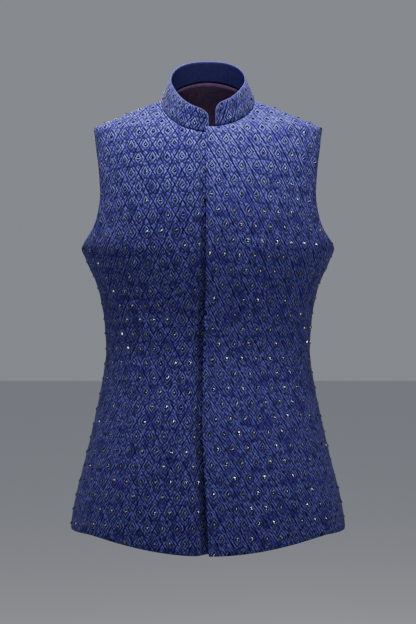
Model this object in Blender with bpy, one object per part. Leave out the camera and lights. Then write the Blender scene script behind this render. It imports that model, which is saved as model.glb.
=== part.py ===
"""A sleeveless waistcoat with a stand collar, in the hollow shape that it has when it is worn.

Sizes are in millimetres and become metres when a mesh is made. +Z is up, the front faces -Y and
the wearer's left is +X. The origin is midway between the two points where neck and shoulder meet.
"""

import math

import bmesh
import bpy
import numpy as np
from mathutils import Vector
from mathutils.bvhtree import BVHTree

MM = 0.001

# Cloth
WALL = 2.0
LINING_WALL = 1.0
LINING_FIRST_ROW = 2
SEAM = 0.3
HALF_SEAM = SEAM / 2
QUILT_RISE = 0.9
ROWS = 30
UNDERARM_ROW = 19
SHOULDER_COLUMNS = 8
NECK_COLUMNS = 8
LEFT_LEDGE_COLUMNS = 1
RIGHT_LEDGE_COLUMNS = 2
TOP_FADE = 3
EVENING_STEPS = 60
FINE_STEPS = 400
SHARP_ANGLE = 50.0

# Heights and half widths of the cut, from the neck point of the shoulder
SIDE_HEM = -681.0
CENTRE_DIP = 25.5
DIP_HALF_WIDTH = 185.0
DIP_POWER = 1.3
UNDERARM = -237.0
SHOULDER_TIP = -46.0
NECK_HALF_WIDTH = 75.0
BACK_NECK_RISE = 38.0
BACK_NECK_POWER = 0.8

# The body's level sections: rounded squares whose corners have this power
SECTION_POWER = 2.4
BODY_SECTIONS = (
    # height, half_width, front_depth, back_depth
    (-720, 224.0, 131.0, 119.0),
    (-640, 212.0, 126.0, 118.0),
    (-576, 196.0, 119.0, 112.0),
    (-512, 181.0, 110.0, 100.0),
    (-448, 168.0, 100.0, 88.0),
    (-400, 162.0, 96.0, 82.0),
    (-352, 165.0, 99.0, 84.0),
    (-304, 174.0, 106.0, 92.0),
    (-256, 194.0, 113.0, 100.0),
    (-237, 201.0, 115.0, 103.0),
    (-200, 193.0, 116.0, 104.5),
    (-150, 187.0, 111.0, 106.0),
    (-100, 185.0, 98.0, 102.0),
    (-56, 184.0, 77.0, 93.5),
    (-48, 183.5, 69.5, 91.5),
    (-44, 177.3, 65.0, 90.5),
    (-32, 149.4, 50.0, 87.0),
    (-14, 107.6, 28.0, 80.0),
    (0, 75.0, 10.0, 74.0),
    (8, 66.0, 8.0, 70.0),
    (16, 60.0, 7.0, 66.0),
    (26, 56.0, 6.0, 61.0),
    (38, 53.0, 5.0, 55.0),
    (48, 51.0, 4.0, 51.0),
)
ARMHOLE_WEIGHT = (1, 0.6, 1)
ARMHOLE = (
    # height, front_half_width, back_half_width
    (-237, 201.0, 201.0),
    (-224, 191.0, 194.0),
    (-208, 178.0, 181.5),
    (-192, 172.0, 175.5),
    (-176, 169.6, 173.0),
    (-160, 168.0, 171.5),
    (-144, 169.0, 172.0),
    (-112, 172.0, 174.5),
    (-80, 177.0, 178.5),
    (-46, 182.0, 182.0),
)
OUTER_EDGE = (
    # height, x of the left front's free edge
    (-720, 2.0),
    (-605, -4.0),
    (-510, -8.4),
    (-400, -7.5),
    (-270, -3.0),
    (-50, -2.5),
)

# The two fronts: the left one laps over the right one
UNDERLAP = 25.0
LEFT_NECK_DEPTH = 52.5
RIGHT_NECK_DEPTH = 61.0
LEFT_COLLAR_END = 13.0
RIGHT_COLLAR_END = 0.5
SINK_WIDTH = 18.0
SINK = (
    # height, depth of the right front behind the form
    (-720, 12.0),
    (-600, 9.0),
    (-480, 5.0),
    (-100, 5.0),
    (-70, 7.5),
    (-40, 8.5),
)
QUILT_STOPS = -16.0

# Collar
COLLAR_ROWS = 3
COLLAR_TOP_HALF_WIDTH = 61.5
COLLAR_SIDE_TOP = 32.0
COLLAR_BACK_TOP = 70.0
COLLAR_TOP_FRONT_Y = -72.0
COLLAR_TOP_SIDE_Y = 2.0
COLLAR_TOP_BACK_Y = 50.0
LEFT_COLLAR_DROP = 49.0
RIGHT_COLLAR_DROP = 57.0
COLLAR_DROP_POWER = 1.35
COLLAR_BACK_RISE_POWER = 0.92
COLLAR_BACK_POWER = 0.8
COLLAR_CORNER = 12.0
END_SPLITS = (0.0, 0.05, 0.16, 0.34, 0.6, 1.0)
PIPING_RADIUS = 1.4
PIPING_SIDES_SETTING = 1
PIPING_START = 0.25

# Hidden press studs
STUD_HEIGHTS = (-125.0, -205.0, -285.0, -365.0, -445.0)
STUD_X = 8.0
STUD_RADIUS = 6.5
STUD_SIDES = 20
STUD_EDGE = 0.5
BEFORE_FRONT = -400.0

EMBROIDERED_BLUE = (0.075, 0.095, 0.33)
FACING_NAVY = (0.018, 0.022, 0.075)
PIPING_BLUE = (0.16, 0.19, 0.46)
LINING_PLUM = (0.022, 0.014, 0.03)
STUD_STEEL = (0.09, 0.09, 0.12)


def clear_scene():
    for thing in list(bpy.data.objects):
        bpy.data.objects.remove(thing, do_unlink=True)


def smooth_curve(table, column):
    """A smooth function of the table's first column that never swings past its rows."""
    rows = np.array(table, float)
    place, value = rows[:, 0], rows[:, column]
    step = np.diff(place)
    slope = np.diff(value) / step
    before, after = slope[:-1], slope[1:]
    same_way = before * after > 0
    tangent = np.empty_like(value)
    tangent[0], tangent[-1] = slope[0], slope[-1]
    tangent[1:-1] = np.where(same_way, 2 * before * after / np.where(same_way, before + after, 1), 0)

    def at(wanted):
        wanted = np.clip(wanted, place[0], place[-1])
        i = np.clip(np.searchsorted(place, wanted) - 1, 0, len(step) - 1)
        t = (wanted - place[i]) / step[i]
        rise = value[i + 1] - value[i]
        bend = tangent[i] * t * (1 - t) ** 2 - tangent[i + 1] * t**2 * (1 - t)
        return value[i] + rise * t**2 * (3 - 2 * t) + step[i] * bend

    return at


half_width = smooth_curve(BODY_SECTIONS, 1)
front_depth = smooth_curve(BODY_SECTIONS, 2)
back_depth = smooth_curve(BODY_SECTIONS, 3)
front_armhole = smooth_curve(ARMHOLE, 1)
back_armhole = smooth_curve(ARMHOLE, 2)
outer_edge = smooth_curve(OUTER_EDGE, 1)
sink_depth = smooth_curve(SINK, 1)


def beyond_form(p):
    """Below 0 inside the body's form, 0 on it and above 0 outside it."""
    x, y, z = p[..., 0], p[..., 1], p[..., 2]
    depth = np.where(y < 0, front_depth(z), back_depth(z))
    return np.abs(x / half_width(z)) ** SECTION_POWER + np.abs(y / depth) ** SECTION_POWER - 1


def form_gradient(p):
    step = 0.5
    parts = [(beyond_form(p + step * axis) - beyond_form(p - step * axis)) for axis in np.eye(3)]
    return np.stack(parts, axis=-1) / (2 * step)


def form_normal(p):
    gradient = form_gradient(p)
    return gradient / np.linalg.norm(gradient, axis=-1, keepdims=True)


def settle(p, steps=8):
    """Moves points on to the form, straight across it."""
    for _ in range(steps):
        gradient = form_gradient(p)
        p = p - (beyond_form(p) / (gradient**2).sum(axis=-1))[..., None] * gradient
    return p


def on_form(x, z, depth_of):
    """Points of the form at these x and z, in front or behind as the depth says."""
    share = np.clip(np.abs(x) / half_width(z), 0, 1)
    y = depth_of(z) * (1 - share**SECTION_POWER) ** (1 / SECTION_POWER)
    y = -y if depth_of is front_depth else y
    return np.stack([x, y, z], axis=-1)


def along(points, count, weight=(1, 1, 1)):
    """The curve through these points as count equal steps. Columns past the third ride along."""
    lengths = np.linalg.norm(np.diff(points[:, :3], axis=0) * weight, axis=1)
    travelled = np.concatenate([[0], np.cumsum(lengths)])
    stops = np.linspace(0, travelled[-1], count + 1)
    return np.stack([np.interp(stops, travelled, column) for column in points.T], axis=-1)


def joined(*curves):
    """Curves end to end, with the shared points once."""
    return np.concatenate([curves[0]] + [curve[1:] for curve in curves[1:]])


def eased():
    """Numbers from 0 to 1, closer together at both ends."""
    return (1 - np.cos(np.linspace(0, math.pi, FINE_STEPS))) / 2


def hem_height(x):
    bulge = np.clip(1 - (x / DIP_HALF_WIDTH) ** 2, 0, 1)
    return SIDE_HEM - CENTRE_DIP * bulge**DIP_POWER


def side_and_armhole(depth_of, armhole_of):
    """The edge from the hem up the side seam, round the armhole and to the shoulder tip."""
    z = SIDE_HEM + (UNDERARM - SIDE_HEM) * eased()
    seam = np.stack([half_width(z), 0 * z, z], axis=-1)
    z = UNDERARM + (SHOULDER_TIP - UNDERARM) * eased()
    hole = on_form(np.minimum(armhole_of(z), half_width(z)), z, depth_of)
    return joined(along(seam, UNDERARM_ROW), along(hole, ROWS - UNDERARM_ROW, ARMHOLE_WEIGHT))


def shoulder_seam():
    z = SHOULDER_TIP * eased()
    return along(np.stack([half_width(z), 0 * z, z], axis=-1), SHOULDER_COLUMNS)


def front_neckline(depth, collar_end):
    """From the collar's front end to the neck point. The fourth column is the turn in radians."""
    turn = np.linspace(math.asin(collar_end / NECK_HALF_WIDTH), math.pi / 2, FINE_STEPS)
    points = on_form(NECK_HALF_WIDTH * np.sin(turn), -depth * np.cos(turn), front_depth)
    return along(np.column_stack([points, turn]), NECK_COLUMNS)


def back_neckline():
    """From the left neck point round the back to the right one, with the turn in radians."""
    turn = np.linspace(math.pi / 2, 3 * math.pi / 2, 2 * FINE_STEPS)
    z = BACK_NECK_RISE * np.abs(np.cos(turn)) ** BACK_NECK_POWER
    sine, cosine = np.sin(turn), np.abs(np.cos(turn))
    radius = (np.abs(sine) ** SECTION_POWER + cosine**SECTION_POWER) ** (-1 / SECTION_POWER)
    points = [half_width(z) * radius * sine, back_depth(z) * radius * cosine, z, turn]
    return along(np.stack(points, axis=-1), 2 * NECK_COLUMNS)


def patch(bottom, top, left, right):
    """A net between four edges, its top edge felt only near the top, laid on the form."""
    u = np.linspace(0, 1, len(bottom))[None, :, None]
    v = np.linspace(0, 1, len(left))[:, None, None]
    fade = v**TOP_FADE
    net = (1 - u) * left[:, None] + u * right[:, None]
    net = net + (1 - fade) * (bottom[None] - (1 - u) * bottom[0] - u * bottom[-1])
    net = net + fade * (top[None] - (1 - u) * top[0] - u * top[-1])
    net = settle(net)
    net[0], net[-1], net[:, 0], net[:, -1] = bottom, top, left, right
    for _ in range(EVENING_STEPS):
        level = (net[1:-1, :-2] + net[1:-1, 2:]) / 2
        upright = (net[:-2, 1:-1] + net[2:, 1:-1]) / 2
        net[1:-1, 1:-1] = settle((level + upright) / 2, 2)
    return net


def sink_of(x, z):
    """How far the right front lies behind the form: under the left front, and more at the hem."""
    across = np.clip(1 + (x - outer_edge(z)) / SINK_WIDTH, 0, 1)
    return sink_depth(z) * across**2 * (3 - 2 * across)


def front_net(edge_of, neck_depth, collar_end, ledge_columns):
    """A front's outer face, built on the wearer's left side."""
    neck = front_neckline(neck_depth, collar_end)[:, :3]
    top_z = neck[0, 2]
    ledge_x = np.linspace(edge_of(top_z), collar_end, FINE_STEPS)
    ledge = along(on_form(ledge_x, top_z + 0 * ledge_x, front_depth), ledge_columns)
    top = joined(ledge, neck, shoulder_seam())
    right = side_and_armhole(front_depth, front_armhole)
    start = edge_of(hem_height(0.0))
    x = start + (half_width(SIDE_HEM) - start) * np.sin(np.linspace(0, math.pi / 2, FINE_STEPS))
    bottom = along(on_form(x, hem_height(x), front_depth), len(top) - 1)
    z = np.linspace(bottom[0, 2], top_z, FINE_STEPS)
    left = along(on_form(edge_of(z), z, front_depth), ROWS)
    right[0], right[-1] = bottom[-1], top[-1]
    left[0], left[-1] = bottom[0], top[0]
    net = patch(bottom, top, left, right)
    net[:, -1, 1] -= np.where(np.abs(net[:, -1, 1]) < HALF_SEAM, HALF_SEAM, 0)
    net[-1, ledge_columns + NECK_COLUMNS :, 1] = -HALF_SEAM
    return net


def back_net():
    """The back's outer face, from the left side seam round to the right one."""
    shoulder = shoulder_seam()
    other = shoulder * (-1, 1, 1)
    top = joined(shoulder[::-1], back_neckline()[:, :3], other)
    left = side_and_armhole(back_depth, back_armhole)
    right = left * (-1, 1, 1)
    turn = np.linspace(0, math.pi, 2 * FINE_STEPS)
    x = half_width(SIDE_HEM) * np.cos(turn)
    bottom = along(on_form(x, SIDE_HEM + 0 * x, back_depth), len(top) - 1)
    net = patch(bottom, top, left, right)
    for edge in (net[:, 0], net[:, -1]):
        edge[:, 1] += np.where(np.abs(edge[:, 1]) < HALF_SEAM, HALF_SEAM, 0)
    net[-1, : SHOULDER_COLUMNS + 1, 1] = HALF_SEAM
    net[-1, -SHOULDER_COLUMNS - 1 :, 1] = HALF_SEAM
    return net


def collar_top(point, turn, collar_end, drop):
    """Where the collar's top edge stands over a point of the neckline."""
    side = np.sign(point[0]) or 1.0
    if turn <= math.pi / 2:
        share = (abs(point[0]) - collar_end) / (NECK_HALF_WIDTH - collar_end)
        x = collar_end + share * (COLLAR_TOP_HALF_WIDTH - collar_end)
        y = COLLAR_TOP_SIDE_Y + (COLLAR_TOP_FRONT_Y - COLLAR_TOP_SIDE_Y) * math.cos(turn)
        z = COLLAR_SIDE_TOP - drop * math.cos(turn) ** COLLAR_DROP_POWER
        return np.array([side * x, y, z])
    back = abs(math.cos(turn))
    x = COLLAR_TOP_HALF_WIDTH * abs(math.sin(turn)) ** COLLAR_BACK_POWER
    y = COLLAR_TOP_SIDE_Y + (COLLAR_TOP_BACK_Y - COLLAR_TOP_SIDE_Y) * back
    z = COLLAR_SIDE_TOP + (COLLAR_BACK_TOP - COLLAR_SIDE_TOP) * back**COLLAR_BACK_RISE_POWER
    return np.array([side * x, y, z])


def neck_ring():
    """The neckline from the left collar end round the back to the right one.

    Gives its points, the collar's top over each, and for the mitred seam the way in through
    both walls and the way across the seam towards the collar.
    """
    left = front_neckline(LEFT_NECK_DEPTH, LEFT_COLLAR_END)
    right = front_neckline(RIGHT_NECK_DEPTH, RIGHT_COLLAR_END)
    back = back_neckline()
    tops = [collar_top(row, row[3], LEFT_COLLAR_END, LEFT_COLLAR_DROP) for row in left]
    tops += [collar_top(row, row[3], 0.0, 0.0) for row in back[1:-1]]
    mirrored = right[::-1] * (-1, 1, 1, 1)
    tops += [collar_top(row, row[3], RIGHT_COLLAR_END, RIGHT_COLLAR_DROP) for row in mirrored]
    tops = np.array(tops)
    ring = np.concatenate([left[:, :3], back[1:-1, :3], mirrored[:, :3]])
    cloth_out = form_normal(ring)
    sink = sink_of(ring[:, 0], ring[:, 2]) * (np.arange(len(ring)) > 3 * NECK_COLUMNS)
    ring[:, 1] += sink
    tops[:, 1] += sink
    tangent = np.gradient(ring, axis=0)
    tangent /= np.linalg.norm(tangent, axis=1, keepdims=True)
    collar_out = np.cross(tops - ring, tangent)
    collar_out /= np.linalg.norm(collar_out, axis=1, keepdims=True)
    collar_out *= np.sign((collar_out * cloth_out).sum(axis=1))[:, None]
    middle = cloth_out + collar_out
    inward = -2 * middle / (middle**2).sum(axis=1)[:, None]
    across = np.cross(tangent, inward)
    across /= np.linalg.norm(across, axis=1, keepdims=True)
    across *= np.sign((across * (tops - ring)).sum(axis=1))[:, None]
    return ring, tops, inward, across


def net_normals(net):
    """Normals of a net of points, facing away from the hollow."""
    normal = np.cross(np.gradient(net, axis=1), np.gradient(net, axis=0))
    return normal / np.linalg.norm(normal, axis=-1, keepdims=True)


def quilt(shape, amount):
    """The rise of the diamonds' middles. The lattice lines between them stay low."""
    row, column = np.indices(shape)
    rise = np.where((row + column) % 2 == 1, amount, 0.0)
    rise[0], rise[-1], rise[:, 0], rise[:, -1] = 0, 0, 0, 0
    return rise[..., None]


def material(name, colour, roughness, metallic=0.0):
    made = bpy.data.materials.new(name)
    made.use_nodes = True
    shader = made.node_tree.nodes["Principled BSDF"]
    shader.inputs["Base Color"].default_value = (*colour, 1.0)
    shader.inputs["Roughness"].default_value = roughness
    shader.inputs["Metallic"].default_value = metallic
    return made


def finish(name, bm, made_of):
    bmesh.ops.recalc_face_normals(bm, faces=bm.faces)
    mesh = bpy.data.meshes.new(name)
    bm.to_mesh(mesh)
    bm.free()
    mesh.materials.append(made_of)
    mesh.shade_smooth()
    mesh.set_sharp_from_angle(angle=math.radians(SHARP_ANGLE))
    thing = bpy.data.objects.new(name, mesh)
    bpy.context.scene.collection.objects.link(thing)
    return thing


def cloth(name, outer, inner, made_of):
    """A closed wall between two nets of points, its lattice lines kept as edges."""
    bm = bmesh.new()
    rows, columns = outer.shape[:2]
    faces = [[[bm.verts.new(p * MM) for p in line] for line in net] for net in (outer, inner)]
    for net in faces:
        for i in range(rows - 1):
            for j in range(columns - 1):
                a, b = net[i][j], net[i][j + 1]
                c, d = net[i + 1][j + 1], net[i + 1][j]
                if (i + j) % 2:
                    a, b, c, d = b, c, d, a
                bm.faces.new((a, b, c))
                bm.faces.new((a, c, d))
    rim = [(0, j) for j in range(columns - 1)]
    rim += [(i, columns - 1) for i in range(rows - 1)]
    rim += [(rows - 1, j) for j in range(columns - 1, 0, -1)]
    rim += [(i, 0) for i in range(rows - 1, 0, -1)]
    for (i, j), (k, m) in zip(rim, rim[1:] + rim[:1]):
        bm.faces.new((faces[0][i][j], faces[0][k][m], faces[1][k][m], faces[1][i][j]))
    return finish(name, bm, made_of)


def fronts_and_back(ring, inward, across, embroidered, lining):
    """The three panels of outer cloth and the back's lining."""
    left = front_net(outer_edge, LEFT_NECK_DEPTH, LEFT_COLLAR_END, LEFT_LEDGE_COLUMNS)
    right = front_net(
        lambda z: -UNDERLAP + 0 * z, RIGHT_NECK_DEPTH, RIGHT_COLLAR_END, RIGHT_LEDGE_COLUMNS
    )
    back = back_net()
    left_in, back_in, right_in = -form_normal(left), -form_normal(back), -form_normal(right)
    right = right * (-1, 1, 1)
    right_in = right_in * (-1, 1, 1)
    right[..., 1] += sink_of(right[..., 0], right[..., 2])
    # Columns of each top row that lie on the neckline, and their places in the ring round it
    count = NECK_COLUMNS + 1
    seams = (
        (left, left_in, LEFT_LEDGE_COLUMNS, np.arange(count)),
        (back, back_in, SHOULDER_COLUMNS, np.arange(NECK_COLUMNS, 3 * NECK_COLUMNS + 1)),
        (right, right_in, RIGHT_LEDGE_COLUMNS, len(ring) - 1 - np.arange(count)),
    )
    for net, way_in, first, part in seams:
        columns = slice(first, first + len(part))
        net[-1, columns] -= HALF_SEAM * across[part]
        way_in[-1, columns] = inward[part]
    right_rise = quilt(right.shape[:2], QUILT_RISE) * (right[..., :1] < QUILT_STOPS)
    rises = (quilt(left.shape[:2], QUILT_RISE), right_rise, quilt(back.shape[:2], QUILT_RISE))
    names = ("front_left", "front_right", "back")
    made = {}
    for name, net, way_in, rise in zip(
        names, (left, right, back), (left_in, right_in, back_in), rises
    ):
        made[name] = cloth(name, net - way_in * rise, net + way_in * WALL, embroidered)
    start = WALL + SEAM
    thin, thin_in = back[LINING_FIRST_ROW:], back_in[LINING_FIRST_ROW:]
    cloth("lining_back", thin + thin_in * start, thin + thin_in * (start + LINING_WALL), lining)
    return made


def split_ring(values):
    """Values along the neckline with two steps a column, and short ones at the collar's ends."""
    split = [values[0] + (values[1] - values[0]) * share for share in END_SPLITS[:-1]]
    for before, after in zip(values[1:-2], values[2:-1]):
        split += [before, (before + after) / 2]
    split += [values[-1] + (values[-2] - values[-1]) * share for share in END_SPLITS[::-1]]
    return np.array(split)


def collar_net(ring, tops, across):
    """The collar's outer face, with a rounded corner at each front end."""
    low = split_ring(ring + HALF_SEAM * across)
    high = split_ring(tops)
    reach = np.concatenate([[0], np.cumsum(np.linalg.norm(np.diff(high, axis=0), axis=1))])
    from_end = np.minimum(np.minimum(reach, reach[-1] - reach), COLLAR_CORNER)
    drop = COLLAR_CORNER - np.sqrt(COLLAR_CORNER**2 - (COLLAR_CORNER - from_end) ** 2)
    up = high - low
    height = np.linalg.norm(up, axis=1)
    high = high - up * (drop / height)[:, None]
    share = np.linspace(0, 1, COLLAR_ROWS + 1)[:, None, None]
    return low + share * (high - low)


def collar_pieces(ring, tops, inward, across, embroidered, facing, piping):
    """The collar band, its facing and the cord along its edge."""
    net = collar_net(ring, tops, across)
    way_in = -net_normals(net)
    way_in *= np.sign((way_in[1] * split_ring(inward)).sum(axis=-1))[None, :, None]
    way_in[0] = split_ring(inward)
    rise = quilt((COLLAR_ROWS + 1, len(ring)), QUILT_RISE)
    rise = np.stack([split_ring(line) for line in rise])
    cloth("collar", net - way_in * rise, net + way_in * WALL, embroidered)
    start = WALL + SEAM
    end = start + LINING_WALL
    cloth("collar_facing", net + way_in * start, net + way_in * end, facing)
    middle = net + way_in * (end / 2)
    edge = np.concatenate([middle[:-1, 0], middle[-1], middle[-2::-1, -1]])
    tangent = np.gradient(edge, axis=0)
    tangent /= np.linalg.norm(tangent, axis=1, keepdims=True)
    through = np.concatenate([way_in[:-1, 0], way_in[-1], way_in[-2::-1, -1]])
    outward = np.cross(tangent, through)
    outward /= np.linalg.norm(outward, axis=1, keepdims=True)
    centre = np.mean(net[0], axis=0)
    outward *= np.sign((outward * (edge - centre)).sum(axis=1).sum())
    path = edge + outward * (PIPING_RADIUS + SEAM)
    path[0] += PIPING_START * (path[1] - path[0])
    path[-1] += PIPING_START * (path[-2] - path[-1])
    cord("collar_piping", path, PIPING_RADIUS, piping)


def cord(name, path, radius, made_of):
    curve = bpy.data.curves.new(name, "CURVE")
    curve.dimensions = "3D"
    curve.bevel_depth = radius * MM
    curve.bevel_resolution = PIPING_SIDES_SETTING
    curve.use_fill_caps = True
    spline = curve.splines.new("POLY")
    spline.points.add(len(path) - 1)
    for point, place in zip(spline.points, path):
        point.co = (*(place * MM), 1.0)
    curve.materials.append(made_of)
    thing = bpy.data.objects.new(name, curve)
    bpy.context.scene.collection.objects.link(thing)
    return thing


def face_hit(thing, start, way):
    tree = BVHTree.FromPolygons(
        [v.co for v in thing.data.vertices], [f.vertices for f in thing.data.polygons]
    )
    return tree.ray_cast(Vector(start) * MM, Vector(way))[:2]


def press_studs(left, right, steel):
    """Flat studs, each laid midway between the left front's inside and the right front's face."""
    for number, height in enumerate(STUD_HEIGHTS, 1):
        under, normal = face_hit(left, (STUD_X, 0, height), (0, -1, 0))
        over, _ = face_hit(right, (STUD_X, BEFORE_FRONT, height), (0, 1, 0))
        normal = normal if normal.y > 0 else -normal
        gap = (over - under).dot(normal)
        thick = gap - 2 * SEAM * MM
        bm = bmesh.new()
        bmesh.ops.create_cone(
            bm,
            cap_ends=True,
            segments=STUD_SIDES,
            radius1=STUD_RADIUS * MM,
            radius2=STUD_RADIUS * MM,
            depth=thick,
        )
        rims = [e for e in bm.edges if abs(e.verts[0].co.z - e.verts[1].co.z) < thick / 4]
        bmesh.ops.bevel(bm, geom=rims, offset=STUD_EDGE * MM, segments=1, affect="EDGES")
        thing = finish(f"press_stud_{number}", bm, steel)
        thing.location = (under + over) / 2
        thing.rotation_mode = "QUATERNION"
        thing.rotation_quaternion = normal.to_track_quat("Z", "X")


def main():
    clear_scene()
    embroidered = material("embroidered blue cloth", EMBROIDERED_BLUE, 0.62)
    facing = material("navy facing", FACING_NAVY, 0.7)
    piping = material("light blue cord", PIPING_BLUE, 0.55)
    lining = material("plum lining", LINING_PLUM, 0.5)
    steel = material("dark stud metal", STUD_STEEL, 0.35, 1.0)
    ring, tops, inward, across = neck_ring()
    panels = fronts_and_back(ring, inward, across, embroidered, lining)
    collar_pieces(ring, tops, inward, across, embroidered, facing, piping)
    press_studs(panels["front_left"], panels["front_right"], steel)


main()
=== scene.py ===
# %% [markdown]
# # A waistcoat with a stand collar, dressed in Blender
# The real object is a sleeveless waistcoat of royal blue cloth. The whole outside is embroidered
# with a lattice of fine diagonal threads, and a small cut stone sits in every diamond.
# The CAD model already gives its hollow shape. This script puts real-looking cloth on that shape.
# Sizes are in millimetres while points are worked out, and become metres when a mesh is made.

import math
from functools import partial

import bpy
import numpy as np
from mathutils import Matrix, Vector
from mathutils.kdtree import KDTree


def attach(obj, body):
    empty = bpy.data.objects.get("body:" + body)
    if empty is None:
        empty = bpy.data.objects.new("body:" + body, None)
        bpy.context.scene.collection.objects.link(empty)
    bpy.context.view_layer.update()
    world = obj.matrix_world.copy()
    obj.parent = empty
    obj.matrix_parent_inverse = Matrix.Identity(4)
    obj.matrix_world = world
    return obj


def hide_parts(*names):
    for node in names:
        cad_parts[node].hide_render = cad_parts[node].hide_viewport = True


MM = 0.001
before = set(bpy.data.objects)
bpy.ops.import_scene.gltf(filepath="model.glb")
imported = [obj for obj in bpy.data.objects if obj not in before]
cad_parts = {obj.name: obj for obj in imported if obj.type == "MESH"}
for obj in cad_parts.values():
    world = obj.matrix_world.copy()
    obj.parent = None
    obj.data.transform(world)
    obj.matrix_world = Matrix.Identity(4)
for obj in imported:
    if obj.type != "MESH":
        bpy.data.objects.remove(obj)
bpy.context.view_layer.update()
bpy.ops.object.select_all(action="DESELECT")
print("CAD nodes:", ", ".join(sorted(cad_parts)))

# %% [markdown]
# ## The cut, as tables
# A tailor works from measurements, and so does this script. Each table gives a few heights with
# the width or depth there, and a smooth curve runs through its rows. The same numbers shaped the
# CAD model, so the cloth lies where the CAD walls are. Tables are easier to correct than points.

# %% Measurements of the cut
WALL, LINING_WALL, SEAM = 2.0, 1.0, 0.3
HALF_SEAM = SEAM / 2
ROWS, UNDERARM_ROW, SHOULDER_COLUMNS, NECK_COLUMNS = 30, 19, 8, 8
LEFT_LEDGE_COLUMNS, RIGHT_LEDGE_COLUMNS, LINING_FIRST_ROW = 1, 2, 2
SIDE_HEM, CENTRE_DIP, DIP_HALF_WIDTH, DIP_POWER = -681.0, 25.5, 185.0, 1.3
UNDERARM, SHOULDER_TIP, NECK_HALF_WIDTH = -237.0, -46.0, 75.0
BACK_NECK_RISE, BACK_NECK_POWER, SECTION_POWER = 38.0, 0.8, 2.4
UNDERLAP, LEFT_NECK_DEPTH, RIGHT_NECK_DEPTH = 25.0, 52.5, 61.0
LEFT_COLLAR_END, RIGHT_COLLAR_END, SINK_WIDTH = 13.0, 0.5, 18.0
BODY_SECTIONS = (  # height, half width, depth in front, depth behind
    (-720, 224.0, 131.0, 119.0), (-640, 212.0, 126.0, 118.0), (-576, 196.0, 119.0, 112.0),
    (-512, 181.0, 110.0, 100.0), (-448, 168.0, 100.0, 88.0), (-400, 162.0, 96.0, 82.0),
    (-352, 165.0, 99.0, 84.0), (-304, 174.0, 106.0, 92.0), (-256, 194.0, 113.0, 100.0),
    (-237, 201.0, 115.0, 103.0), (-200, 193.0, 116.0, 104.5), (-150, 187.0, 111.0, 106.0),
    (-100, 185.0, 98.0, 102.0), (-56, 184.0, 77.0, 93.5), (-48, 183.5, 69.5, 91.5),
    (-44, 177.3, 65.0, 90.5), (-32, 149.4, 50.0, 87.0), (-14, 107.6, 28.0, 80.0),
    (0, 75.0, 10.0, 74.0), (8, 66.0, 8.0, 70.0), (16, 60.0, 7.0, 66.0),
    (26, 56.0, 6.0, 61.0), (38, 53.0, 5.0, 55.0), (48, 51.0, 4.0, 51.0),
)
ARMHOLE = (  # height, half width of the front's armhole, half width of the back's
    (-237, 201.0, 201.0), (-224, 191.0, 194.0), (-208, 178.0, 181.5), (-192, 172.0, 175.5),
    (-176, 169.6, 173.0), (-160, 168.0, 171.5), (-144, 169.0, 172.0), (-112, 172.0, 174.5),
    (-80, 177.0, 178.5), (-46, 182.0, 182.0),
)
ARMHOLE_WEIGHT = (1, 0.6, 1)
OUTER_EDGE = ((-720, 2.0), (-605, -4.0), (-510, -8.4), (-400, -7.5), (-270, -3.0), (-50, -2.5))
SINK = ((-720, 12.0), (-600, 9.0), (-480, 5.0), (-100, 5.0), (-70, 7.5), (-40, 8.5))


def smooth_curve(table, column):
    """A smooth function of the table's first column that never swings past its rows."""
    rows = np.array(table, float)
    place, value = rows[:, 0], rows[:, column]
    step = np.diff(place)
    slope = np.diff(value) / step
    before, after = slope[:-1], slope[1:]
    same_way = before * after > 0
    tangent = np.empty_like(value)
    tangent[0], tangent[-1] = slope[0], slope[-1]
    total = np.where(same_way, before + after, 1)
    tangent[1:-1] = np.where(same_way, 2 * before * after / total, 0)

    def at(wanted):
        wanted = np.clip(wanted, place[0], place[-1])
        i = np.clip(np.searchsorted(place, wanted) - 1, 0, len(step) - 1)
        t = (wanted - place[i]) / step[i]
        bend = tangent[i] * t * (1 - t) ** 2 - tangent[i + 1] * t**2 * (1 - t)
        return value[i] + (value[i + 1] - value[i]) * t**2 * (3 - 2 * t) + step[i] * bend

    return at


half_width, front_depth, back_depth = (smooth_curve(BODY_SECTIONS, k) for k in (1, 2, 3))
front_armhole, back_armhole = smooth_curve(ARMHOLE, 1), smooth_curve(ARMHOLE, 2)
outer_edge, sink_depth = smooth_curve(OUTER_EDGE, 1), smooth_curve(SINK, 1)
print("half width at the waist:", round(float(half_width(-400)), 1), "mm")

# %% [markdown]
# ## The form under the cloth
# Each level section is a rounded square. One function says whether a point is inside or outside
# that form, and its slope gives the way out. Any point can then be settled on to the form, so
# extra points between two rows land on the true curve and not on a flat facet.


# %% Points on the form
def unit(vectors):
    return vectors / np.linalg.norm(vectors, axis=-1, keepdims=True)


def beyond_form(p):
    """Below 0 inside the body's form, 0 on it and above 0 outside it."""
    x, y, z = p[..., 0], p[..., 1], p[..., 2]
    depth = np.where(y < 0, front_depth(z), back_depth(z))
    return np.abs(x / half_width(z)) ** SECTION_POWER + np.abs(y / depth) ** SECTION_POWER - 1


def form_gradient(p):
    axes = np.eye(3) / 2
    return np.stack([beyond_form(p + axis) - beyond_form(p - axis) for axis in axes], axis=-1)


def form_normal(p):
    return unit(form_gradient(p))


def settle(p, steps):
    """Moves points on to the form, straight across it."""
    for _ in range(steps):
        gradient = form_gradient(p)
        p = p - (beyond_form(p) / (gradient**2).sum(axis=-1))[..., None] * gradient
    return p


def on_form(x, z, depth_of):
    """The points of the form at these x and z, in front or behind."""
    share = np.clip(np.abs(x) / half_width(z), 0, 1)
    y = depth_of(z) * (1 - share**SECTION_POWER) ** (1 / SECTION_POWER)
    return np.stack([x, -y if depth_of is front_depth else y, z], axis=-1)


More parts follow.
